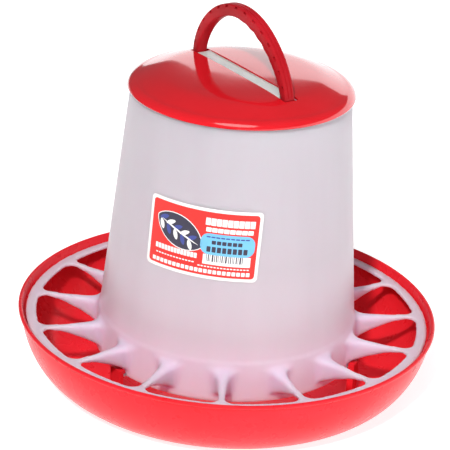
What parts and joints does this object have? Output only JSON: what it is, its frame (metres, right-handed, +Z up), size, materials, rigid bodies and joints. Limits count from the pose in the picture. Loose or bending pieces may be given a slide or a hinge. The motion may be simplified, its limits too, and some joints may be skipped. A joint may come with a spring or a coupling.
{
  "type": "poultry feeder",
  "caption": "Covered tube feeder for poultry: a round dished pan, a tapered hopper tube with a spoked feeding grille, and a slotted lid under an arched carrying handle.",
  "frame": {"origin": "centre of the pan's underside, on the surface the feeder stands on", "axes": "+Z up along the hopper's axis; -Y towards the front, where the label faces; the handle's plane stands 54 degrees clockwise from +X, seen from above"},
  "size_m": [0.38, 0.38, 0.3497],
  "materials": {
    "pan_red": "glossy moulded",
    "hopper_white": "satin, slightly translucent",
    "lid_red": "high gloss",
    "handle_red": "glossy moulded",
    "label_print": "printed film"
  },
  "bodies": {
    "pan": {"feed_pan": "pan_red"},
    "hopper": {"hopper_tube": "hopper_white", "feed_grille": "hopper_white", "handle_bridge": "hopper_white", "handle": "handle_red", "label": "label_print"},
    "lid": {"lid": "lid_red"}
  },
  "joints": [
    {"name": "hopper_twist", "type": "hinge", "parent": "pan", "child": "hopper", "pos_m": [0, 0, 0], "axis": [0, 0, 1], "range_deg": [0, 12]},
    {"name": "lid_lift", "type": "slide", "parent": "hopper", "child": "lid", "axis": [0, 0, 1], "range_m": [0, 0.085]}
  ]
}
